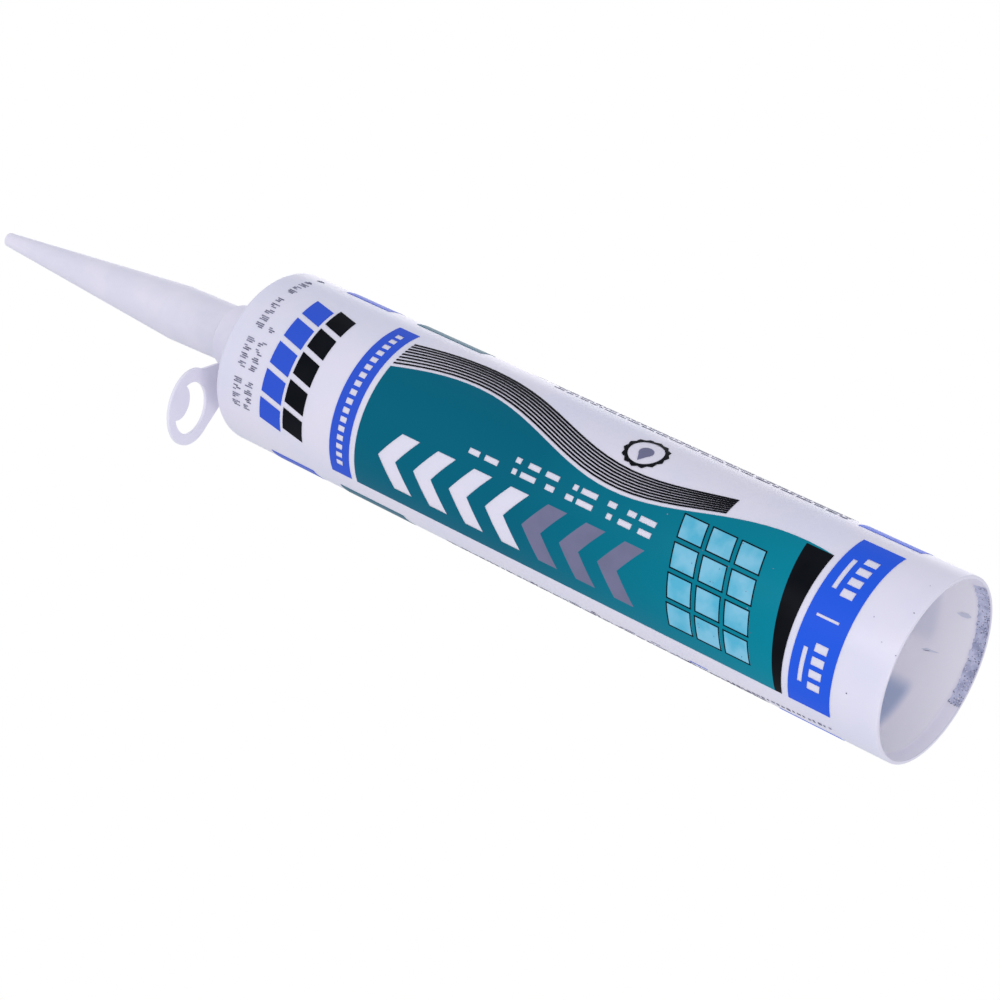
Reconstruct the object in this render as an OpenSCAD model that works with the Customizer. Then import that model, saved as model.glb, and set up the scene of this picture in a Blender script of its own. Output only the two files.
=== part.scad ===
// Sealant cartridge for a standard caulking gun: barrel, screw-on nozzle, piston, paste and printed fields.
// Origin at the centre of the open rear rim, +Z along the barrel towards the nozzle, millimetres.

/* [Barrel] */
// Outer diameter of the barrel
barrel_d = 50; // [44:0.5:56]
// Length from the rear rim to the flat of the front edge
barrel_len = 220; // [190:1:250]
// Thickness of the tube's wall
wall = 1.5; // [1.2:0.05:2]
// Thickness of the front wall
front_wall = 1.8; // [1.4:0.1:2.4]
// Radius of the rounded front edge
front_round = 1.6; // [0.8:0.1:2.4]
// Radius of the rounded rim at the open end
rim_round = 0.3; // [0.1:0.05:0.5]
// How far the front wall rises from its edge to the foot of the neck
front_rise = 7.6; // [4:0.1:11]
// Depth of the tapered mouth at the open end
mouth_depth = 3.7; // [2:0.1:6]
// How much wider the mouth is at the rim, on each side
mouth_flare = 0.6; // [0.2:0.05:0.7]

/* [Neck] */
// Outer diameter of the threaded neck
neck_d = 15; // [12:0.1:18]
// Height of the neck above the foot of the nozzle
neck_len = 7.5; // [6:0.1:10]
// Wall of the neck
neck_wall = 1.6; // [1.2:0.1:2]
// Thickness of the sealed tip that is cut off before use
tip_wall = 0.9; // [0.6:0.1:1.4]

/* [Nozzle] */
// Gap between the front wall and the foot of the nozzle
seat_gap = 0.4; // [0.2:0.05:0.8]
// Running gap between the neck and the collar
thread_gap = 0.05; // [0.02:0.01:0.1]
// Wall of the collar
collar_wall = 1.8; // [1.4:0.1:2.4]
// Height of the collar
collar_h = 9; // [7:0.1:12]
// How far the spout steps in from the collar
collar_step = 1.18; // [0.8:0.02:1.5]
// Wall of the spout
spout_wall = 1.25; // [0.9:0.05:1.4]
// Straight length of the spout above the foot of the nozzle
spout_straight = 30; // [20:1:45]
// Whole length of the nozzle
nozzle_len = 101.5; // [80:0.5:120]
// Outer diameter of the tip
tip_d = 4.2; // [3.6:0.1:5.6]
// Diameter of the hole in the tip
tip_hole_d = 2; // [1.2:0.1:2.6]
// How far the spout leans to one side, in degrees
spout_lean = 1.95; // [0:0.05:3]

/* [Finger loop] */
// Direction of the loop around the axis, in degrees from +X
loop_dir = 212; // [0:0.5:360]
// How far the loop droops away from the collar, in degrees
loop_droop = 11.5; // [0:0.5:14]
// Height of the loop's root on the collar above the foot of the nozzle
loop_root = 4; // [3.5:0.1:5]
// Distance from the collar to the centre of the ring
loop_reach = 18.25; // [14:0.25:20]
// Outer diameter of the ring
loop_d = 22.1; // [18:0.1:24]
// Diameter of the hole
loop_hole_d = 15; // [12:0.1:16]
// Shift of the hole away from the axis
loop_hole_out = 0.54; // [0:0.02:1]
// Radius of the tongue's edge in the hole
tongue_r = 5.2; // [4.5:0.1:6]
// Shift of the tongue's centre away from the axis, from the centre of the ring
tongue_out = 4; // [3.5:0.1:4.5]
// Shift of the tongue's centre to the side
tongue_side = 5.7; // [5.2:0.1:6.2]
// Thickness of the loop
loop_t = 0.8; // [0.6:0.05:1.2]
// Where the strap's narrow side meets the ring, in degrees from the outward direction
strap_turn = 147; // [135:1:160]

/* [Filling] */
// Volume of sealant in millilitres
fill_ml = 280; // [200:1:290]
// Gap between the sealant and what holds it
fill_gap = 0.05; // [0.02:0.01:0.1]

/* [Piston] */
// Length of the piston
piston_len = 20; // [14:0.5:26]
// Running gap between the sealing lips and the tube
piston_gap = 0.1; // [0.05:0.01:0.15]
// How far the skirt stands back from the lips
lip_h = 0.7; // [0.4:0.05:1]
// Height of each sealing lip
lip_w = 2.4; // [1.5:0.1:3]
// Wall of the skirt
skirt_wall = 1.5; // [1.2:0.1:2]
// Thickness of the piston's face
face_wall = 2; // [1.4:0.1:2.6]
// Diameter of the hub behind the face
hub_d = 14; // [10:0.5:18]
// Wall of the hub
hub_wall = 1.4; // [1:0.1:2]
// Length of the hub behind the face
hub_len = 5; // [3:0.5:8]

/* [Print] */
// Thickness of the ink
ink = 0.1; // [0.05:0.01:0.2]
// Half the width of each printed panel, in degrees
panel_half = 58; // [50:0.5:59]
// Distance from the rear rim to the rear band
rear_margin = 13.8; // [8:0.1:20]
// Width of the rear band
rear_band = 12.2; // [8:0.1:16]
// Gap between a band and the main field
band_gap = 2; // [1:0.1:4]
// Width of the front band
front_band = 7.1; // [4:0.1:10]
// Distance from the front edge to the block of bars
block_margin = 17.3; // [14:0.1:22]
// Length of the block of bars
block_len = 15.7; // [10:0.1:20]
// Gap between the block of bars and the front band
block_gap = 10.2; // [4:0.1:14]
// Number of bars in each row of the block
bar_count = 5; // [3:1:7]
// Number of tiles along the barrel
tile_rows = 3; // [2:1:4]
// Number of tiles around the barrel
tile_columns = 4; // [2:1:5]
// Number of chevrons
chevron_count = 7; // [4:1:9]
// Number of fine wave lines
wave_count = 8; // [4:1:10]
// Width of a fine wave line
wave_w = 0.5; // [0.3:0.05:0.8]
// Radius of the round badge
badge_r = 6; // [4:0.1:7]

/* [Hidden] */
$fn = 96;
barrel_r = barrel_d / 2;
bore_r = barrel_r - wall;
neck_r = neck_d / 2;
neck_bore_r = neck_r - neck_wall;
rise_r = neck_r + collar_wall;
seat_z = barrel_len + front_rise;
foot_z = seat_z + seat_gap;
neck_top = foot_z + neck_len;
front_inner_z = barrel_len - front_wall;
neck_inner_z = seat_z - front_wall;
collar_r = neck_r + thread_gap + collar_wall;
spout_r = collar_r - collar_step;
spout_bore_r = spout_r - spout_wall;
top_gap = 0.4;
pivot_inset = 0.5;
pivot_z = foot_z + neck_len - pivot_inset;
spout_overlap = 3;
spout_clear = 0.2;
tip_bore_len = 4;
tip_r = tip_d / 2;
tip_hole_r = tip_hole_d / 2;
loop_r = loop_d / 2;
strap_inset = 0.8;
neck_round = 0.6;
edge_bevel = 0.4;
collar_bevel = 0.8;

// The volume ahead of the straight tube gives the length of the straight column of sealant.
cone_ml = PI * front_rise * (bore_r * bore_r + bore_r * neck_bore_r + neck_bore_r * neck_bore_r) / 3000;
neck_ml = PI * neck_bore_r * neck_bore_r * (neck_top - tip_wall - neck_inner_z) / 1000;
column = (fill_ml - cone_ml - neck_ml) * 1000 / (PI * bore_r * bore_r);
piston_face_z = front_inner_z - column - fill_gap;
piston_rear_z = piston_face_z - piston_len;
piston_r = bore_r - piston_gap;
skirt_r = piston_r - lip_h;

// Places along the printed panel, counted from both ends of the barrel.
band_z0 = rear_margin;
band_z1 = band_z0 + rear_band;
block_z1 = barrel_len - block_margin;
block_z0 = block_z1 - block_len;
front_band_z1 = block_z0 - block_gap;
front_band_z0 = front_band_z1 - front_band;
field_z0 = band_z1 + band_gap;
field_z1 = front_band_z0 - band_gap;
field_len = field_z1 - field_z0;
motif_margin = 8;
side_margin = 11;
motif_a0 = -(panel_half - side_margin);

// The rows of tiles at the rear of the main field, above a dark skirting that widens to one side.
skirting_low = 2;
skirting_high = 8;
tile_pitch = field_len / 16;
tile_gap = 1.1;
tile_lean = 1.5;
tile_a1 = 22;
tile_turn = (tile_a1 - motif_a0) / tile_columns;
tiles_z0 = field_z0 + skirting_high + 1;
tiles_z1 = tiles_z0 + tile_rows * tile_pitch + tile_columns * tile_lean;

// The chevrons ahead of the tiles; the rear ones are grey and the others bare.
chevrons_z0 = tiles_z1 + motif_margin / 2;
chevron_pitch = (field_z1 - motif_margin - chevrons_z0) / chevron_count;
chevron_w = chevron_pitch / 2;
chevron_a1 = -10;
grey_chevrons = ceil(chevron_count / 2) - 1;

// The wave that bounds the main field, as angles around the tube.
wave_mid = 25;
wave_swing = 12;
wave_start = 60;
wave_turn = 480;
wave_gap = 3;
line_pitch = 1.3;
line_spread = 1.5;
lines_from = 0.22;
trough = (270 - wave_start) / wave_turn;
badge_angle = 47;
badge_z = field_z0 + trough * field_len;
badge_lobes = 14;

// The bars of the block and the side panels.
bar_turn = 2 * -motif_a0 / bar_count;
bar_lean = 4;
black_to = 0.45;
blue_from = 0.52;
side_turns = [-120, 120];
side_half = 46;

// The rear band of the left side panel starts further round than that of the right one.
left_setback = 10;

// Points of an arc about a centre.
function arc(centre, r, a0, a1, steps = 6) =
    [for (i = [0:steps]) let (a = a0 + (a1 - a0) * i / steps) centre + r * [cos(a), sin(a)]];

// The place across the front half of the tube of an angle around it.
function across(angle) = barrel_r * sin(angle);

// The edge of the main field, as an angle, a part of the way along it.
function wave(part) = wave_mid + wave_swing * sin(wave_start + wave_turn * part);

// The angle of one fine line below that edge, fanning out towards the front.
function line_angle(i, part) = wave(part) + wave_gap + i * (line_pitch + line_spread * part);

// A point of the badge, at a radius and a direction on the tube's skin.
function on_badge(r, a) = [across(badge_angle + r * cos(a) / barrel_r * 180 / PI), badge_z + r * sin(a)];

module barrel() {
    outside = concat(
        arc([barrel_r - rim_round, rim_round], rim_round, -90, 0, 3),
        arc([barrel_r - front_round, barrel_len - front_round], front_round, 0, 90, 8),
        [[rise_r, seat_z], [neck_r, seat_z]],
        arc([neck_r - neck_round, neck_top - neck_round], neck_round, 0, 90, 3)
    );
    inside = [
        [0, neck_top],
        [0, neck_top - tip_wall],
        [neck_bore_r, neck_top - tip_wall],
        [neck_bore_r, neck_inner_z],
        [bore_r, front_inner_z],
        [bore_r, mouth_depth],
        [bore_r + mouth_flare, 0],
    ];
    color("whitesmoke") rotate_extrude() polygon(concat(outside, inside));
}

module nozzle() {
    color([0.85, 0.85, 0.89]) difference() {
        union() {
            collar();
            leaned() spout(spout_r, tip_r, 1);
            finger_loop();
        }
        translate([0, 0, foot_z - 1]) cylinder(h = neck_len + 1 + top_gap, r = neck_r + thread_gap);
        leaned() spout(spout_bore_r, tip_hole_r, 0);
    }
}

module collar() {
    rotate_extrude() polygon([
        [0, foot_z],
        [collar_r - edge_bevel, foot_z],
        [collar_r, foot_z + edge_bevel],
        [collar_r, foot_z + collar_h - collar_bevel],
        [collar_r - collar_bevel, foot_z + collar_h],
        [0, foot_z + collar_h],
    ]);
}

module leaned() {
    translate([0, 0, pivot_z]) rotate([0, -spout_lean, 0]) translate([0, 0, -pivot_z]) children();
}

// A straight tube that tapers to the tip, as a solid; the same form, narrower, is its inside.
module spout(r, end_r, outer) {
    low = outer == 1 ? foot_z + spout_overlap : neck_top + spout_clear;
    straight_z = foot_z + spout_straight;
    top = foot_z + nozzle_len;
    past = outer == 1 ? 0 : 1;
    rotate_extrude() polygon([
        [0, low],
        [r, low],
        [r, straight_z],
        [end_r, top - (1 - outer) * tip_bore_len],
        [end_r, top + past],
        [0, top + past],
    ]);
}

// The strap and the ring as one thin plate, drawn from the collar's wall outwards.
module finger_loop() {
    rotate(loop_dir) translate([collar_r, 0, foot_z + loop_root]) rotate([0, loop_droop, 0])
        linear_extrude(loop_t) difference() {
            union() {
                translate([loop_reach, 0]) circle(loop_r);
                strap();
            }
            difference() {
                translate([loop_reach + loop_hole_out, 0]) circle(loop_hole_d / 2);
                translate([loop_reach + tongue_out, tongue_side]) circle(tongue_r);
            }
        }
}

// One side of the strap runs along the collar and the ring, and the other slants in to the middle.
module strap() {
    polygon([
        [-collar_r, 0],
        [-collar_r, strap_inset - collar_r],
        [loop_reach, -loop_r],
        [loop_reach, 0],
        [loop_reach + loop_r * cos(strap_turn), loop_r * sin(strap_turn)],
        [-strap_inset, -strap_inset / 2],
    ]);
}

module piston() {
    color("white") rotate_extrude() polygon([
        [0, piston_face_z],
        [piston_r - edge_bevel, piston_face_z],
        [piston_r, piston_face_z - edge_bevel],
        [piston_r, piston_face_z - lip_w],
        [skirt_r, piston_face_z - lip_w - lip_h],
        [skirt_r, piston_rear_z + lip_w + lip_h],
        [piston_r, piston_rear_z + lip_w],
        [piston_r, piston_rear_z],
        [piston_r - lip_h - skirt_wall, piston_rear_z],
        [piston_r - lip_h - skirt_wall, piston_face_z - face_wall],
        [hub_d / 2, piston_face_z - face_wall],
        [hub_d / 2, piston_face_z - face_wall - hub_len],
        [hub_d / 2 - hub_wall, piston_face_z - face_wall - hub_len],
        [hub_d / 2 - hub_wall, piston_face_z - face_wall],
        [0, piston_face_z - face_wall],
    ]);
}

// The column in the straight tube, which the piston pushes out.
module sealant() {
    low = piston_face_z + fill_gap;
    high = front_inner_z - 2 * fill_gap;
    color("ivory") translate([0, 0, low]) cylinder(h = high - low, r = bore_r - fill_gap);
}

// The paste in the front cone and the neck, which the piston can't reach.
module neck_paste() {
    color("ivory") rotate_extrude() polygon([
        [0, front_inner_z - fill_gap],
        [bore_r - fill_gap, front_inner_z - fill_gap],
        [neck_bore_r - fill_gap, neck_inner_z - fill_gap],
        [neck_bore_r - fill_gap, neck_top - tip_wall - fill_gap],
        [0, neck_top - tip_wall - fill_gap],
    ]);
}

// Wraps a flat drawing, across and along, around the tube as a skin of ink.
module wrap(turn = 0) {
    rotate(turn) intersection() {
        rotate([90, 0, 0]) linear_extrude(barrel_r + 1) children();
        difference() {
            cylinder(h = barrel_len, r = barrel_r + ink);
            translate([0, 0, -1]) cylinder(h = barrel_len + 2, r = barrel_r);
        }
    }
}

module field(a0, a1, z0, z1, lean = 0) {
    polygon([[across(a0), z0], [across(a1), z0 + lean], [across(a1), z1 + lean], [across(a0), z1]]);
}

// A row of short bars along the panel, as a line of small print would lie.
module dashes(a0, a1, z0, z1, seed) {
    dash_pitch = 6;
    dash_part = 0.55;
    dash_swing = 0.3;
    dash_turn = 137;
    marks = max(3, round((z1 - z0) / dash_pitch));
    step = (z1 - z0) / marks;
    for (i = [0:marks - 1])
        let (part = dash_part + dash_swing * sin(seed + i * dash_turn))
            field(a0, a1, z0 + i * step, z0 + (i + part) * step);
}

// A row of leaning bars across the panel.
module bars(z0, z1) {
    for (i = [0:bar_count - 1])
        let (a0 = motif_a0 + i * bar_turn, a1 = a0 + bar_turn - bar_lean)
            polygon([
                [across(a0), z0],
                [across(a1), z0],
                [across(a1 + bar_lean), z1],
                [across(a0 + bar_lean), z1],
            ]);
}

module main_field() {
    steps = 36;
    edge = [for (k = [0:steps]) [across(wave(k / steps)), field_z0 + field_len * k / steps]];
    polygon(concat([[across(-panel_half), field_z1], [across(-panel_half), field_z0]], edge));
}

module skirting() {
    polygon([
        [across(-panel_half), field_z0],
        [across(wave(0)), field_z0],
        [across(wave(0)), field_z0 + skirting_high],
        [across(-panel_half), field_z0 + skirting_low],
    ]);
}

module tiles() {
    for (i = [0:tile_rows - 1], j = [0:tile_columns - 1])
        let (z = tiles_z0 + i * tile_pitch + j * tile_lean, a = motif_a0 + j * tile_turn)
            field(a, a + tile_turn - 2 * tile_gap, z, z + tile_pitch - tile_gap, tile_lean);
}

module chevron(i) {
    z = chevrons_z0 + i * chevron_pitch;
    middle = (motif_a0 + chevron_a1) / 2;
    polygon([
        [across(motif_a0), z],
        [across(middle), z + chevron_w],
        [across(chevron_a1), z],
        [across(chevron_a1), z + chevron_w],
        [across(middle), z + 2 * chevron_w],
        [across(motif_a0), z + chevron_w],
    ]);
}

module wave_lines() {
    steps = 26;
    for (i = [0:wave_count - 1]) {
        path = [
            for (k = [0:steps])
                let (part = lines_from + (1 - lines_from) * k / steps)
                    [across(line_angle(i, part)), field_z0 + field_len * part]
        ];
        polygon(concat(
            [for (k = [0:steps]) path[k] - [wave_w / 2, 0]],
            [for (k = [steps:-1:0]) path[k] + [wave_w / 2, 0]]
        ));
    }
}

module badge_ring() {
    points = badge_lobes * 4;
    inner_part = 0.8;
    inner_r = badge_r * inner_part;
    ripple = 0.05;
    difference() {
        polygon([
            for (k = [0:points - 1])
                let (a = 360 * k / points) on_badge(badge_r * (1 + ripple * cos(badge_lobes * a)), a)
        ]);
        polygon([for (k = [0:points - 1]) on_badge(inner_r, 360 * k / points)]);
    }
}

// A drop of water inside the ring: a round foot that runs out to a point, clear of the ring.
module badge_drop() {
    foot_r = badge_r / 3;
    point_part = 1.9;
    polygon(concat(
        [for (a = [-140:20:140]) on_badge(foot_r, a)],
        [on_badge(foot_r * point_part, 180)]
    ));
}

module print_teal() {
    row = 3.5;
    row_a0 = chevron_a1 + 2 * row;
    rows = [5, 4];
    seeds = [20, 65];
    color([0, 0.42, 0.47]) {
        wrap() difference() {
            main_field();
            skirting();
            tiles();
            for (i = [0:chevron_count - 1]) chevron(i);
            for (i = [0, 1])
                let (a = row_a0 + 2 * i * row)
                    dashes(a, a + row, chevrons_z0, chevrons_z0 + rows[i] * chevron_pitch, seeds[i]);
        }
        for (turn = side_turns)
            wrap(turn) field(-side_half, side_half, front_band_z0 - block_len, front_band_z1);
    }
}

module print_blue() {
    color([0.14, 0.3, 0.84]) {
        wrap() {
            difference() {
                field(-panel_half, panel_half, band_z0, band_z1);
                figures();
            }
            difference() {
                field(-panel_half, panel_half, front_band_z0, front_band_z1);
                band_marks();
            }
            bars(block_z0 + block_len * blue_from, block_z1);
        }
        for (turn = side_turns) wrap(turn) {
            field(-side_half, side_half - (turn < 0 ? left_setback : 0), band_z0, band_z1 + rear_band / 2);
            field(-side_half, side_half, block_z0, block_z1);
        }
    }
}

// Bare marks in the rear band: two groups of upright bars with a thin divider between them.
module figures() {
    bars_part = [0.25, 0.55];
    line_gap = 1.6;
    line_h = 1.3;
    bars_z0 = band_z0 + rear_band * bars_part[0];
    bars_z1 = band_z0 + rear_band * bars_part[1];
    line_z0 = bars_z1 + line_gap;
    line_z1 = line_z0 + line_h;
    group_a = panel_half / 2;
    figure_count = 4;
    figure_turn = 8;
    figure_half = 2.5;
    divider_half = 0.8;
    line_a0 = -(figure_count - 1) / 2 * figure_turn;
    line_a1 = 10;
    for (side = [-1, 1], i = [0:figure_count - 1])
        let (a = side * group_a + line_a0 + i * figure_turn)
            field(a - figure_half, a + figure_half, bars_z0, bars_z1);
    for (side = [-1, 1])
        let (a = side * group_a) field(a + line_a0, a + line_a1, line_z0, line_z1);
    field(-divider_half, divider_half, bars_z0, line_z1);
}

// Bare ticks in a row around the front band.
module band_marks() {
    middle = (front_band_z0 + front_band_z1) / 2;
    tick_part = 0.16;
    half = front_band * tick_part;
    ticks = 8;
    tick_turn = 6;
    tick = 3.6;
    for (i = [-ticks:ticks])
        let (a = i * tick_turn) field(a - tick / 2, a + tick / 2, middle - half, middle + half);
}

module print_aqua() {
    color([0.35, 0.75, 0.78]) wrap() tiles();
}

module print_grey() {
    color([0.48, 0.46, 0.55]) wrap() {
        for (i = [0:grey_chevrons - 1]) chevron(i);
        badge_drop();
    }
}

module print_black() {
    color([0.08, 0.08, 0.1]) wrap() {
        skirting();
        wave_lines();
        badge_ring();
        bars(block_z0, block_z0 + block_len * black_to);
    }
}

barrel();
nozzle();
piston();
sealant();
neck_paste();
print_teal();
print_blue();
print_aqua();
print_grey();
print_black();
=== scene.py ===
# Sealant cartridge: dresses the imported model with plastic, ink, small print and wear.
import math
import random

import bmesh
import bpy
from mathutils import Matrix, Vector


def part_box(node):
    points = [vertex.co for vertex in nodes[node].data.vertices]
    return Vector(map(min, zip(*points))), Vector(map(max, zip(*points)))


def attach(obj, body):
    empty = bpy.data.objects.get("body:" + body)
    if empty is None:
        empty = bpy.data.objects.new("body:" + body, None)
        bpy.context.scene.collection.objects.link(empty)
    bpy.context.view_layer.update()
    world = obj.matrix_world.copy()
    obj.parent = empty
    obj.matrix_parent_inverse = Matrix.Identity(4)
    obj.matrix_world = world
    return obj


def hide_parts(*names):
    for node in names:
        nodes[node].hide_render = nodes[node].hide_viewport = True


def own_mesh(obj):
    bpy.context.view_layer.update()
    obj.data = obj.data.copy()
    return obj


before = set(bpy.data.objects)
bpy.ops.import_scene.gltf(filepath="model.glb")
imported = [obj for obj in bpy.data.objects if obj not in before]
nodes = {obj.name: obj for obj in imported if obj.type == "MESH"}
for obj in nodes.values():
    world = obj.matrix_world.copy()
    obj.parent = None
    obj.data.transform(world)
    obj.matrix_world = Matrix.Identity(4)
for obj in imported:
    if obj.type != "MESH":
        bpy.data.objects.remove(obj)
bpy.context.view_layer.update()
mm = 0.001
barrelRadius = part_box("barrel")[1].x
print("frame loaded:", len(nodes), "nodes")

# camera, floor, light

cameraView = {
    "place": (0.0, -0.66173, -0.27780),  # fitted to the photo, so it looks up at the open end
    "aim": (-0.00904, 0.0, 0.13292),
    "roll": 64.035,  # degrees clockwise
    "lens": 105.54,
    "sensor": 36.0,
    "clip": 0.01,
}


def addCamera():
    data = bpy.data.cameras.new("photoCamera")
    data.lens = cameraView["lens"]
    data.sensor_width = cameraView["sensor"]
    data.clip_start = cameraView["clip"]
    camera = bpy.data.objects.new("photoCamera", data)
    bpy.context.scene.collection.objects.link(camera)
    place = Vector(cameraView["place"])
    look = (Vector(cameraView["aim"]) - place).to_track_quat("-Z", "Y").to_matrix().to_4x4()
    turn = Matrix.Rotation(-math.radians(cameraView["roll"]), 4, "Z")
    camera.matrix_world = Matrix.Translation(place) @ look @ turn
    bpy.context.scene.camera = camera


studio = {
    "floorSize": 6.0,
    "floorDrop": 0.0002,  # metres below the rim
    "floorColour": (0.86, 0.86, 0.87),
    "floorRough": 0.9,
    "backdrop": (1.0, 1.0, 1.0),  # what the camera sees past the floor
    "skyColour": (0.90, 0.93, 1.0),
    "skyStrength": 0.78,
    # name: place, size, watts
    "lamps": {
        "frontLamp": ((-0.05, -1.3, 0.3), 0.5, 3.2),
        "lowLamp": ((-0.35, -0.6, -1.1), 0.4, 5.0),
        "backLamp": ((0.4, 0.9, 0.8), 0.8, 2.0),
    },
    "lampColour": (1.0, 0.96, 0.95),
    "lampAim": (0.0, 0.0, 0.12),
}


def addFloor():
    half = studio["floorSize"] / 2
    data = bpy.data.meshes.new("floor")
    corners = [(-half, -half, 0), (half, -half, 0), (half, half, 0), (-half, half, 0)]
    data.from_pydata(corners, [], [(0, 1, 2, 3)])
    floor = bpy.data.objects.new("floor", data)
    floor.location.z = -studio["floorDrop"]
    bpy.context.scene.collection.objects.link(floor)
    # the floor is a one-way sheet: plain and pale from above, nothing at all from below
    floor.visible_shadow = False
    floor.visible_diffuse = False
    floor.visible_glossy = False
    floor.visible_transmission = False
    material = bpy.data.materials.new("floorPaper")
    material.use_nodes = True
    tree = material.node_tree
    paper = tree.nodes["Principled BSDF"]
    paper.inputs["Base Color"].default_value = (*studio["floorColour"], 1)
    paper.inputs["Roughness"].default_value = studio["floorRough"]
    side = tree.nodes.new("ShaderNodeNewGeometry")
    clear = tree.nodes.new("ShaderNodeBsdfTransparent")
    mix = tree.nodes.new("ShaderNodeMixShader")
    tree.links.new(side.outputs["Backfacing"], mix.inputs["Fac"])
    tree.links.new(paper.outputs["BSDF"], mix.inputs[1])
    tree.links.new(clear.outputs["BSDF"], mix.inputs[2])
    tree.links.new(mix.outputs["Shader"], tree.nodes["Material Output"].inputs["Surface"])
    data.materials.append(material)


def addSky():
    world = bpy.data.worlds.new("studioSky")
    bpy.context.scene.world = world
    world.use_nodes = True
    tree = world.node_tree
    light = tree.nodes["Background"]
    light.inputs["Color"].default_value = (*studio["skyColour"], 1)
    light.inputs["Strength"].default_value = studio["skyStrength"]
    backdrop = tree.nodes.new("ShaderNodeBackground")
    backdrop.inputs["Color"].default_value = (*studio["backdrop"], 1)
    ray = tree.nodes.new("ShaderNodeLightPath")
    mix = tree.nodes.new("ShaderNodeMixShader")
    tree.links.new(ray.outputs["Is Camera Ray"], mix.inputs["Fac"])
    tree.links.new(light.outputs["Background"], mix.inputs[1])
    tree.links.new(backdrop.outputs["Background"], mix.inputs[2])
    tree.links.new(mix.outputs["Shader"], tree.nodes["World Output"].inputs["Surface"])


def addLamps():
    for name, (place, size, watts) in studio["lamps"].items():
        data = bpy.data.lights.new(name, "AREA")
        data.size = size
        data.energy = watts
        data.color = studio["lampColour"]
        lamp = bpy.data.objects.new(name, data)
        bpy.context.scene.collection.objects.link(lamp)
        lamp.location = place
        beam = Vector(studio["lampAim"]) - lamp.location
        lamp.rotation_euler = beam.to_track_quat("-Z", "Y").to_euler()


addCamera()
addFloor()
addSky()
addLamps()
bpy.context.scene.view_settings.view_transform = "Standard"
print("camera, floor and lamps ready")

# materials

plastics = {
    # colour: where the cloud is thick; second: where it is thin; cloud: its scale
    # fade: the heights in metres between which the second colour turns into the first
    "barrelPlastic": {
        "colour": (0.76, 0.73, 0.83),
        "second": (0.72, 0.71, 0.83),
        "cloud": 38,
        "rough": 0.30,
        "bump": 0.03,
        "shine": 0.4,
        "glow": 0.35,
    },
    "thinPlastic": {
        "colour": (0.74, 0.71, 0.81),
        "second": (0.70, 0.69, 0.81),
        "cloud": 38,
        "rough": 0.30,
        "bump": 0.03,
        "shine": 0.4,
    },
    "nozzlePlastic": {
        "colour": (0.79, 0.76, 0.86),
        "second": (0.75, 0.73, 0.84),
        "cloud": 110,
        "rough": 0.42,
        "bump": 0.05,
        "shine": 0.3,
        "glow": 0.4,
    },
    "pistonPlastic": {
        "colour": (0.72, 0.74, 0.82),
        "second": (0.66, 0.69, 0.79),
        "cloud": 120,
        "rough": 0.45,
        "bump": 0.03,
        "shine": 0.3,
        "glow": 0.1,
    },
    "paste": {
        "colour": (0.80, 0.77, 0.68),
        "second": (0.74, 0.70, 0.60),
        "cloud": 90,
        "rough": 0.35,
        "bump": 0.2,
        "shine": 0.4,
        "glow": 0.2,
    },
    "tealInk": {
        "colour": (0.0005, 0.120, 0.188),
        "second": (0.001, 0.225, 0.310),
        "cloud": 60,
        "rough": 0.35,
        "bump": 0.01,
        "shine": 0.05,
        "fade": (0.030, 0.125),
    },
    "blueInk": {
        "colour": (0.030, 0.092, 0.610),
        "second": (0.017, 0.100, 0.720),
        "cloud": 60,
        "rough": 0.35,
        "bump": 0.01,
        "shine": 0.08,
        "fade": (0.030, 0.190),
    },
    "aquaInk": {
        "colour": (0.210, 0.530, 0.700),
        "second": (0.095, 0.445, 0.620),
        "cloud": 150,
        "rough": 0.35,
        "bump": 0.01,
        "shine": 0.08,
    },
    "greyInk": {
        "colour": (0.175, 0.170, 0.280),
        "second": (0.155, 0.160, 0.255),
        "cloud": 120,
        "rough": 0.35,
        "bump": 0.01,
        "shine": 0.1,
    },
    "blackInk": {
        "colour": (0.002, 0.003, 0.005),
        "second": (0.004, 0.005, 0.008),
        "cloud": 120,
        "rough": 0.35,
        "bump": 0.01,
        "shine": 0.05,
    },
    "jetInk": {
        "colour": (0.10, 0.10, 0.16),
        "second": (0.28, 0.28, 0.38),
        "cloud": 700,
        "rough": 0.6,
        "bump": 0.02,
        "shine": 0.1,
    },
    # painted shade and light for the crease and the shadow on the inner wall
    "paintedShadePlastic": {
        "colour": (0.70, 0.71, 0.82),
        "second": (0.80, 0.80, 0.90),
        "cloud": 300,
        "rough": 0.5,
        "bump": 0.1,
        "shine": 0.3,
    },
    # the grey-blue band inside the mouth
    "mouthBandGrey": {
        "colour": (0.36, 0.38, 0.54),
        "second": (0.62, 0.63, 0.80),
        "cloud": 240,
        "rough": 0.6,
        "bump": 0.6,
        "shine": 0.2,
    },
}


allPlastics = {
    "ior": 1.5,
    "glowReach": 0.002,  # metres
    "cloudDetail": 3,
    "cloudRange": (0.38, 0.62),
    "fadeRange": (0.1, 1.0),
    "fadeCloud": 0.2,  # how much the cloud counts where an ink fades
    "grain": 900,
    "grainDetail": 2,
    "grainDepth": 0.0005,
}


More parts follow.
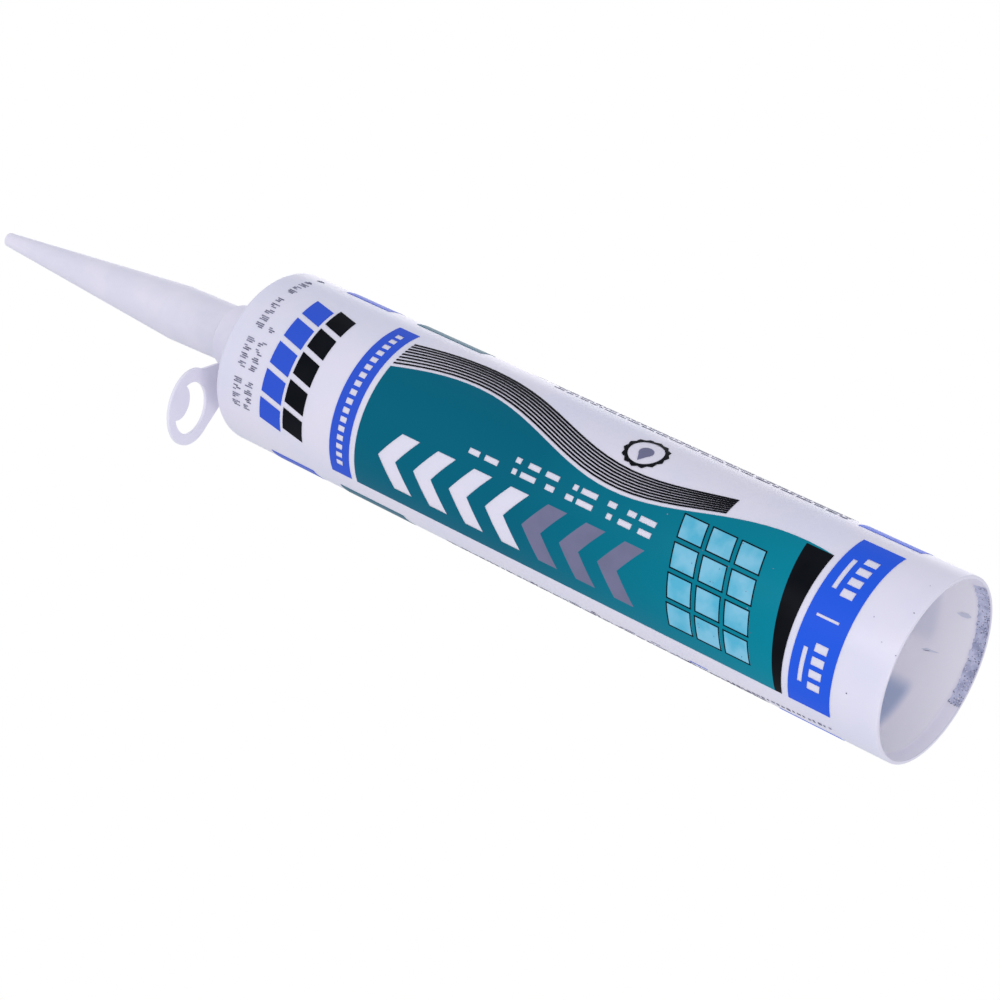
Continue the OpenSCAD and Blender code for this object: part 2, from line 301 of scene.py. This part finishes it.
def addPlastic(name):
    values = plastics[name]
    material = bpy.data.materials.new(name)
    material.use_nodes = True
    tree = material.node_tree
    shader = tree.nodes["Principled BSDF"]
    shader.inputs["Roughness"].default_value = values["rough"]
    shader.inputs["IOR"].default_value = allPlastics["ior"]
    shader.inputs["Specular IOR Level"].default_value = values["shine"]
    shader.inputs["Subsurface Weight"].default_value = values.get("glow", 0)
    shader.inputs["Subsurface Radius"].default_value = (1, 1, 1)
    shader.inputs["Subsurface Scale"].default_value = allPlastics["glowReach"]
    where = tree.nodes.new("ShaderNodeTexCoord")
    cloud = tree.nodes.new("ShaderNodeTexNoise")
    cloud.inputs["Scale"].default_value = values["cloud"]
    cloud.inputs["Detail"].default_value = allPlastics["cloudDetail"]
    tree.links.new(where.outputs["Object"], cloud.inputs["Vector"])
    amount = cloud.outputs["Fac"]
    if "fade" in values:
        split = tree.nodes.new("ShaderNodeSeparateXYZ")
        height = tree.nodes.new("ShaderNodeMapRange")
        height.inputs["From Min"].default_value, height.inputs["From Max"].default_value = values["fade"]
        blend = tree.nodes.new("ShaderNodeMath")
        blend.operation = "MULTIPLY_ADD"
        blend.inputs[1].default_value = allPlastics["fadeCloud"]
        tree.links.new(where.outputs["Object"], split.inputs["Vector"])
        tree.links.new(split.outputs["Z"], height.inputs["Value"])
        tree.links.new(cloud.outputs["Fac"], blend.inputs[0])
        tree.links.new(height.outputs["Result"], blend.inputs[2])
        amount = blend.outputs["Value"]
    ramp = tree.nodes.new("ShaderNodeValToRGB")
    first, last = ramp.color_ramp.elements
    first.position, last.position = allPlastics["fadeRange" if "fade" in values else "cloudRange"]
    first.color = (*values["second"], 1)
    last.color = (*values["colour"], 1)
    grain = tree.nodes.new("ShaderNodeTexNoise")
    grain.inputs["Scale"].default_value = allPlastics["grain"]
    grain.inputs["Detail"].default_value = allPlastics["grainDetail"]
    relief = tree.nodes.new("ShaderNodeBump")
    relief.inputs["Strength"].default_value = values["bump"]
    relief.inputs["Distance"].default_value = allPlastics["grainDepth"]
    tree.links.new(where.outputs["Object"], grain.inputs["Vector"])
    tree.links.new(amount, ramp.inputs["Fac"])
    tree.links.new(ramp.outputs["Color"], shader.inputs["Base Color"])
    tree.links.new(grain.outputs["Fac"], relief.inputs["Height"])
    tree.links.new(relief.outputs["Normal"], shader.inputs["Normal"])
    return material


# painted light and shade: the inner wall is painted brighter for light that comes through the wall into the
# tube, the side panels' rear bands are painted there as soft shades, and the taper and the rim are painted
# darker
paintedWallLight = {
    "paintedInnerLight": (0.97, 0.93, 1.0),  # painted light: the inner wall, made brighter
    "reach": (100, 150),  # mm from the rim
    "paintedTaperShade": (0.80, 0.77, 0.86),  # painted shade on its last stretch, which faces the light more
    "taperHeight": (3.0, 4.4),
    # painted shade: the rim is darker, since it faces the low lamp more
    "rim": (0.66, 0.64, 0.74),
    "rimHeight": (0.1, 0.4),
    # painted shade: the side panels' blue rear bands, seen through the wall
    "colour": (0.22, 0.37, 0.60),
    "inside": (24.2, 24.6),  # mm, the wall's middle
    "height": (12.2, 15.6),
    "panel": (70, 78),  # degrees, the panel's front edge
    "panelEnd": (158, 172),
    "left": 0.60,
    "right": 0.17,
    "between": (-1, 1),  # radians, from the left strength to the right one
}


def eased(tree, value, low, high, start=0.0, end=1.0):
    ease = tree.nodes.new("ShaderNodeMapRange")
    ease.interpolation_type = "SMOOTHSTEP"
    for name, number in (("From Min", low), ("From Max", high), ("To Min", start), ("To Max", end)):
        ease.inputs[name].default_value = number
    tree.links.new(value, ease.inputs["Value"])
    return ease.outputs["Result"]


def counted(tree, operation, *values):
    step = tree.nodes.new("ShaderNodeMath")
    step.operation = operation
    for socket, value in zip(step.inputs, values):
        if isinstance(value, (int, float)):
            socket.default_value = value
        else:
            tree.links.new(value, socket)
    return step.outputs["Value"]


def addPaintedWallLight(material):
    tree = material.node_tree
    shader = tree.nodes["Principled BSDF"]
    where = tree.nodes.new("ShaderNodeTexCoord")
    split = tree.nodes.new("ShaderNodeSeparateXYZ")
    tree.links.new(where.outputs["Object"], split.inputs["Vector"])
    x, y, z = (split.outputs[axis] for axis in "XYZ")
    squares = counted(tree, "MULTIPLY_ADD", x, x, counted(tree, "MULTIPLY", y, y))
    radius = counted(tree, "SQRT", squares)
    angle = counted(tree, "ARCTAN2", x, counted(tree, "MULTIPLY", y, -1))
    turn = counted(tree, "ABSOLUTE", angle)
    near, far = (r * mm for r in paintedWallLight["inside"])
    low, high = (h * mm for h in paintedWallLight["height"])
    start, stop = (h * mm for h in paintedWallLight["reach"])
    withinWall = eased(tree, radius, near, far, 1, 0)
    withinReach = eased(tree, z, start, stop, 1, 0)
    inside = counted(tree, "MULTIPLY", withinWall, withinReach)
    shade = counted(tree, "MULTIPLY", inside, eased(tree, z, low, high))
    shade = counted(tree, "MULTIPLY", shade, eased(tree, turn, *map(math.radians, paintedWallLight["panel"])))
    shade = counted(tree, "MULTIPLY", shade, eased(tree, turn, *map(math.radians, paintedWallLight["panelEnd"]), 1, 0))
    strength = eased(tree, angle, *paintedWallLight["between"], paintedWallLight["left"], paintedWallLight["right"])
    shade = counted(tree, "MULTIPLY", shade, strength)
    paintedTaperShade = counted(tree, "MULTIPLY", inside, eased(tree, z, *(h * mm for h in paintedWallLight["taperHeight"]), 1, 0))
    rim = eased(tree, z, *(h * mm for h in paintedWallLight["rimHeight"]), 1, 0)
    # painted light and shade, laid over the plastic's own colour
    tints = (
        (inside, paintedWallLight["paintedInnerLight"]),
        (shade, paintedWallLight["colour"]),
        (paintedTaperShade, paintedWallLight["paintedTaperShade"]),
        (rim, paintedWallLight["rim"]),
    )
    for amount, colour in tints:
        tint = tree.nodes.new("ShaderNodeMix")
        tint.data_type = "RGBA"
        plain = shader.inputs["Base Color"].links[0].from_socket
        tree.links.new(amount, tint.inputs["Factor"])
        tree.links.new(plain, tint.inputs["A"])
        tint.inputs["B"].default_value = (*colour, 1)
        tree.links.new(tint.outputs["Result"], shader.inputs["Base Color"])


finishes = {name: addPlastic(name) for name in plastics}
addPaintedWallLight(finishes["barrelPlastic"])
cadFinish = {
    "barrel": "barrelPlastic",
    "nozzle": "nozzlePlastic",
    "piston": "pistonPlastic",
    "print_teal": "tealInk",
    "print_blue": "blueInk",
    "print_aqua": "aquaInk",
    "print_grey": "greyInk",
    "print_black": "blackInk",
}
for node, finish in cadFinish.items():
    for holder in nodes[node].material_slots:
        holder.material = finishes[finish]
print("materials ready")

# marks: thin slabs of ink that follow the barrel's skin

skin = {
    "lift": 0.01 * mm,
    "thickness": 0.05 * mm,
    "step": 3.0,  # degrees between the points of a wide mark
}
skinRise = (skin["lift"], skin["lift"] + skin["thickness"])


def onSkin(radius, angle, height):
    # the angle is in degrees from the middle of the front panel, towards +X
    turn = math.radians(angle)
    return Vector((radius * math.sin(turn), -radius * math.cos(turn), height))


def skinWall(height):
    return barrelRadius


def addMark(shape, corners, wall, rise):
    # corners: low left, low right, high right, high left, each an angle and a height
    lowLeft, lowRight, highRight, highLeft = corners
    count = max(1, math.ceil(abs(lowRight[0] - lowLeft[0]) / skin["step"]))
    rows = []
    for k in range(count + 1):
        part = k / count
        row = []
        for start, end in ((lowLeft, lowRight), (highLeft, highRight)):
            angle = start[0] + (end[0] - start[0]) * part
            height = start[1] + (end[1] - start[1]) * part
            row += [shape.verts.new(onSkin(wall(height) + r, angle, height)) for r in rise]
        rows.append(row)
    for a, b in zip(rows, rows[1:]):
        for i, j in ((1, 3), (3, 2), (2, 0), (0, 1)):
            shape.faces.new((a[i], b[i], b[j], a[j]))
    for a in (rows[0], rows[-1]):
        shape.faces.new((a[0], a[1], a[3], a[2]))


def box(a0, a1, z0, z1):
    return ((a0, z0), (a1, z0), (a1, z1), (a0, z1))


def addMarks(name, marks, finish, wall=skinWall, rise=skinRise):
    shape = bmesh.new()
    for corners in marks:
        addMark(shape, corners, wall, rise)
    bmesh.ops.recalc_face_normals(shape, faces=shape.faces)
    data = bpy.data.meshes.new(name)
    shape.to_mesh(data)
    shape.free()
    piece = bpy.data.objects.new(name, data)
    bpy.context.scene.collection.objects.link(piece)
    data.materials.append(finishes[finish])
    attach(piece, "barrel")


# batch code: two rows of jet-printed strokes near the front edge, with no letters

batchCode = {
    "seed": 5,
    "rows": ((207.4, -42, 12), (211.6, -42, 75)),  # height in mm, first and last angle
    "dot": (0.38, 0.25),  # degrees, mm, half its width and height
    "dotPitch": (1.25, 0.56),
    "jitter": 0.06,  # degrees
    "grid": (3, 5),
    "shortest": 2,
    "gap": 1.6,  # degrees between groups
    "missing": (4, 9, 15, 20),  # groups left out, as spaces
}


def addBatchCode():
    pick = random.Random(batchCode["seed"])
    across, up = batchCode["dotPitch"]
    columns, lines = batchCode["grid"]
    wide, tall = batchCode["dot"]
    jitter = batchCode["jitter"]
    marks = []
    for middle, start, end in batchCode["rows"]:
        angle = start
        group = 0
        while angle < end:
            for i in range(columns):
                length = pick.randint(batchCode["shortest"], lines)
                first = pick.randint(0, lines - length)
                a = angle + i * across + pick.uniform(-jitter, jitter)
                for j in range(first, first + length):
                    z = middle + (j - (lines - 1) / 2) * up
                    if group not in batchCode["missing"]:
                        marks.append(box(a - wide, a + wide, (z - tall) * mm, (z + tall) * mm))
            angle += columns * across + batchCode["gap"]
            group += 1
    addMarks("batchCode", marks, "jetInk")


# small print: rows of fine dashes on both side panels

smallPrint = {
    "seed": 11,
    # the middle of each side panel, and where its rows start and end around it
    "panels": {-120: (-45.0, 40.0), 120: (-45.0, 46.0)},
    "rowPitch": 5.1,
    "rowHeight": 1.5,  # degrees
    "from": 36.0,
    "to": 146.0,
    "ragged": 30,  # mm by which a row may end sooner
    "dash": (0.7, 4.6),  # shortest and longest, mm
    "gap": 0.9,
    # every so many rows the first stretch is thicker, by this much and up to this height
    "heading": 3,
    "headingGain": 1.5,
    "headingTo": 60,
}


def addSmallPrint():
    pick = random.Random(smallPrint["seed"])
    marks = []
    for turn, (local, last) in smallPrint["panels"].items():
        row = 0
        while local < last:
            a = turn + local
            z = smallPrint["from"]
            stop = smallPrint["to"] - pick.uniform(0, smallPrint["ragged"])
            while z < stop:
                length = pick.uniform(*smallPrint["dash"])
                inHeading = row % smallPrint["heading"] == 0 and z < smallPrint["headingTo"]
                thick = smallPrint["rowHeight"] * (smallPrint["headingGain"] if inHeading else 1)
                marks.append(box(a, a + thick, z * mm, (z + length) * mm))
                z += length + smallPrint["gap"]
            local += smallPrint["rowPitch"]
            row += 1
    addMarks("smallPrint", marks, "jetInk")


# the left panel's nearest edge: a slanting row of heavy strokes and a few thin ones

edgePrint = {
    "seed": 8,
    "start": (-80.5, 47.0),  # angle and height
    "end": (-71.5, 15.0),
    "jitter": (0.4, 0.2),  # degrees, mm
    "strokes": 21,
    "strokeSize": ((0.8, 1.7), (0.25, 0.55)),  # half widths in degrees and half lengths in mm
    "thin": 11,
    "thinAngles": (-80.5, -76.5),
    "thinHeights": (58, 112),
    "thinSize": (0.3, (0.5, 1.6)),
    "blueLine": (-77.8, -76.8, 53.0, 58.5),
}


def addEdgePrint():
    pick = random.Random(edgePrint["seed"])
    marks = []
    (startAngle, startHeight), (endAngle, endHeight) = edgePrint["start"], edgePrint["end"]
    wides, talls = edgePrint["strokeSize"]
    aside, along = edgePrint["jitter"]
    for k in range(edgePrint["strokes"]):
        part = k / (edgePrint["strokes"] - 1)
        a = startAngle + (endAngle - startAngle) * part + pick.uniform(-aside, aside)
        z = startHeight + (endHeight - startHeight) * part + pick.uniform(-along, along)
        wide, tall = pick.uniform(*wides), pick.uniform(*talls)
        marks.append(box(a - wide, a + wide, (z - tall) * mm, (z + tall) * mm))
    addMarks("edgeStrokes", marks, "jetInk")
    marks = []
    wide, talls = edgePrint["thinSize"]
    for k in range(edgePrint["thin"]):
        a = pick.uniform(*edgePrint["thinAngles"])
        z = pick.uniform(*edgePrint["thinHeights"])
        tall = pick.uniform(*talls)
        marks.append(box(a - wide, a + wide, (z - tall) * mm, (z + tall) * mm))
    addMarks("edgeDashes", marks, "jetInk")
    a0, a1, z0, z1 = edgePrint["blueLine"]
    addMarks("edgeLine", [box(a0, a1, z0 * mm, z1 * mm)], "blueInk")


addBatchCode()
addSmallPrint()
addEdgePrint()
print("small print ready")

# outlines: a dark line around each pale tile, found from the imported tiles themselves

outlines = {
    "width": 0.35 * mm,
    "weld": 0.01 * mm,
    "side": 0.2,  # degrees within which a point belongs to a tile's side
}


def addTileOutlines():
    shape = bmesh.new()
    shape.from_mesh(nodes["print_aqua"].data)
    bmesh.ops.remove_doubles(shape, verts=shape.verts, dist=outlines["weld"])
    left = set(shape.verts)
    wide = math.degrees(outlines["width"] / barrelRadius)
    marks = []
    while left:
        island = set()
        reach = [left.pop()]
        while reach:
            vert = reach.pop()
            island.add(vert)
            for edge in vert.link_edges:
                other = edge.other_vert(vert)
                if other in left:
                    left.discard(other)
                    reach.append(other)
        spots = [(math.degrees(math.atan2(v.co.x, -v.co.y)), v.co.z) for v in island]
        a0, a1 = min(s[0] for s in spots), max(s[0] for s in spots)
        nearLeft = [s[1] for s in spots if s[0] < a0 + outlines["side"]]
        nearRight = [s[1] for s in spots if s[0] > a1 - outlines["side"]]
        l0, l1, r0, r1 = min(nearLeft), max(nearLeft), min(nearRight), max(nearRight)
        thin = outlines["width"]
        marks.append(((a0, l0), (a1, r0), (a1, r0 + thin), (a0, l0 + thin)))
        marks.append(((a0, l1 - thin), (a1, r1 - thin), (a1, r1), (a0, l1)))
        marks.append(((a0, l0), (a0 + wide, l0), (a0 + wide, l1), (a0, l1)))
        marks.append(((a1 - wide, r0), (a1, r0), (a1, r1), (a1 - wide, r1)))
    shape.free()
    inkTop = max(math.hypot(v.co.x, v.co.y) for v in nodes["print_aqua"].data.vertices)
    rise = inkTop - barrelRadius
    addMarks("tileOutlines", marks, "blackInk", rise=(rise, rise + skin["thickness"]))


addTileOutlines()
print("outlines ready")

# marks: a grey band inside the mouth; on the inner wall, a crease's painted shade and a painted shadow;
# specks of dirt

mouth = {
    "bore": 23.5,  # radius inside the tube, mm
    "depth": 3.7,  # the last stretch tapers out to the rim
    "flare": 0.6,
}


def mouthWall(height):
    part = max(0.0, 1 - height / (mouth["depth"] * mm))
    return (mouth["bore"] + mouth["flare"] * part) * mm


# a grey-blue band on the mouth's taper, with dark and pale specks that crowd at the rim and at the band's far
# end
mouthBand = {
    "seed": 3,
    "angles": (104.0, 194.0),  # from the middle of the front panel
    "low": 0.12,
    "high": 3.65,
    "ragged": 0.5,
    "step": 1.5,
    "rise": (-0.05, -0.01),  # mm from the wall, towards the axis
    "spots": {"mouthBandDarkSpecks": ("jetInk", 210), "mouthBandPaleSpecks": ("thinPlastic", 150)},  # finish, number
    "spotSize": (0.05, 0.16),
    "spotRise": (-0.09, -0.03),
    "alongRim": 0.6,  # this share of them crowds at the rim, and the rest at the band's far end
    "crowd": 2.6,
}


def addMouthBand():
    pick = random.Random(mouthBand["seed"])
    start, end = mouthBand["angles"]
    count = round((end - start) / mouthBand["step"])
    edge = [mouthBand["high"] - pick.uniform(0, mouthBand["ragged"]) for k in range(count + 1)]
    low = mouthBand["low"]
    marks = []
    for k in range(count):
        a0, a1 = start + k * mouthBand["step"], start + (k + 1) * mouthBand["step"]
        marks.append(((a0, low * mm), (a1, low * mm), (a1, edge[k + 1] * mm), (a0, edge[k] * mm)))
    rise = [r * mm for r in mouthBand["rise"]]
    addMarks("mouthBand", marks, "mouthBandGrey", mouthWall, rise)
    high = mouthBand["high"] - mouthBand["ragged"]
    for name, (finish, count) in mouthBand["spots"].items():
        spots = []
        for k in range(count):
            alongRim = pick.random() < mouthBand["alongRim"]
            crowded = pick.random() ** mouthBand["crowd"]
            even = pick.random()
            angle = start + (end - start) * (even if alongRim else 1 - crowded)
            height = low + (high - low) * (crowded if alongRim else even)
            tall = pick.uniform(*mouthBand["spotSize"])
            wide = math.degrees(pick.uniform(*mouthBand["spotSize"]) / mouth["bore"])
            spots.append(box(angle - wide, angle + wide, height * mm, (height + 2 * tall) * mm))
        addMarks(name, spots, finish, mouthWall, [r * mm for r in mouthBand["spotRise"]])


specks = {
    "seed": 23,
    # angle from the middle of the front panel and height in mm
    "rear": ((44.5, 3.2), (23.6, 1.7), (1.4, 5.0), (-2.0, 0.3), (-34, 9.4), (12, 9.8)),
    "field": 22,
    "fieldAngles": (-52, 20),
    "fieldHeights": (36, 74),
    "size": (0.06, 0.17),
    "rise": 0.13,
}


def addSpecks():
    pick = random.Random(specks["seed"])
    places = list(specks["rear"])
    for k in range(specks["field"]):
        places.append((pick.uniform(*specks["fieldAngles"]), pick.uniform(*specks["fieldHeights"])))
    marks = []
    for angle, height in places:
        tall = pick.uniform(*specks["size"])
        wide = math.degrees(pick.uniform(*specks["size"]) * mm / barrelRadius)
        lean = pick.uniform(-tall, tall) / 2
        low, high = (height - tall) * mm, (height + tall) * mm
        lowSide = ((angle - wide, low), (angle + wide, low + lean * mm))
        highSide = ((angle + wide / 2, high), (angle - wide, high))
        marks.append(lowSide + highSide)
    addMarks("specks", marks, "jetInk", rise=(skin["lift"], specks["rise"] * mm))


wallMarks = {
    # each a finish, and a chain of angle, height and half width in degrees, on the bore
    "chains": {
        # painted shade and light of a crease: a grey patch, with no fold in the wall
        "paintedCreaseShade": (
            "paintedShadePlastic",
            ((171.6, 16.0, 0.1), (170.8, 14.7, 1.0), (170.3, 13.2, 0.7), (169.4, 10.9, 0.05)),
        ),
        # painted shade: a dark line along the crease
        "paintedCreaseShadeLine": (
            "jetInk",
            ((171.9, 15.4, 0.05), (171.2, 14.4, 0.25), (170.6, 13.6, 0.05)),
        ),
        # painted shadow: a grey patch on the inner wall
        "paintedShadow": (
            "paintedShadePlastic",
            ((139.5, 9.2, 0.2), (139.0, 7.6, 1.6), (138.2, 6.0, 1.8), (138.0, 5.0, 0.3)),
        ),
    },
    "rise": (-0.04, -0.02),  # mm from the wall, towards the axis
    "step": 0.02,  # mm by which each mark stands further in than the one before
}


def addWallMarks():
    for k, (name, (finish, chain)) in enumerate(wallMarks["chains"].items()):
        marks = []
        for (a0, z0, half0), (a1, z1, half1) in zip(chain, chain[1:]):
            start = ((a0 - half0, z0 * mm), (a0 + half0, z0 * mm))
            end = ((a1 + half1, z1 * mm), (a1 - half1, z1 * mm))
            marks.append(start + end)
        rise = [(r - wallMarks["step"] * k) * mm for r in wallMarks["rise"]]
        addMarks(name, marks, finish, mouthWall, rise)


addMouthBand()
addWallMarks()
addSpecks()
print("wear ready")

# paste: the column between the piston and the front wall, and what stays in the cone and the neck

paste = {
    # name: the CAD node that it stands for, and the ripple of its rear face in mm
    "pieces": {"sealantPaste": ("sealant", 0.15), "neckPaste": ("neck_paste", 0.0)},
    "rippleTurn": 2.1,  # radians from ring to ring
    "rings": 8,
    "around": 48,
    "gap": 0.02,
    "digits": 5,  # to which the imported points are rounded, in metres
}


def pasteProfile(node, ripple):
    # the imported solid's outline from its rear face forwards, as radius and height
    digits = paste["digits"]
    places = [v.co for v in nodes[node].data.vertices]
    spots = {(round(place.z, digits), round(math.hypot(place.x, place.y), digits)) for place in places}
    heights = sorted({height for height, r in spots})
    outline = [(max(r for z, r in spots if z == height), height) for height in heights]
    radius, low = outline[0]
    rings = paste["rings"]
    face = []
    for k in range(1, rings):
        wave = abs(math.sin(k * paste["rippleTurn"])) * ripple * mm
        face.append((radius * k / rings, low + wave))
    return face + outline


def addPaste(name, node, ripple):
    shape = bmesh.new()
    around = paste["around"]
    loops = []
    for r, z in pasteProfile(node, ripple):
        r -= paste["gap"] * mm
        loops.append([shape.verts.new(onSkin(r, 360 * k / around, z)) for k in range(around)])
    for a, b in zip(loops, loops[1:]):
        for k in range(around):
            n = (k + 1) % around
            shape.faces.new((a[k], a[n], b[n], b[k]))
    shape.faces.new(loops[0])
    shape.faces.new(loops[-1])
    bmesh.ops.recalc_face_normals(shape, faces=shape.faces)
    data = bpy.data.meshes.new(name)
    shape.to_mesh(data)
    shape.free()
    piece = bpy.data.objects.new(name, data)
    bpy.context.scene.collection.objects.link(piece)
    data.materials.append(finishes["paste"])
    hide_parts(node)
    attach(piece, "barrel")
    return piece


pastes = {name: addPaste(name, *values) for name, values in paste["pieces"].items()}
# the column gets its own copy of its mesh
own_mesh(pastes["sealantPaste"])
print("paste ready")
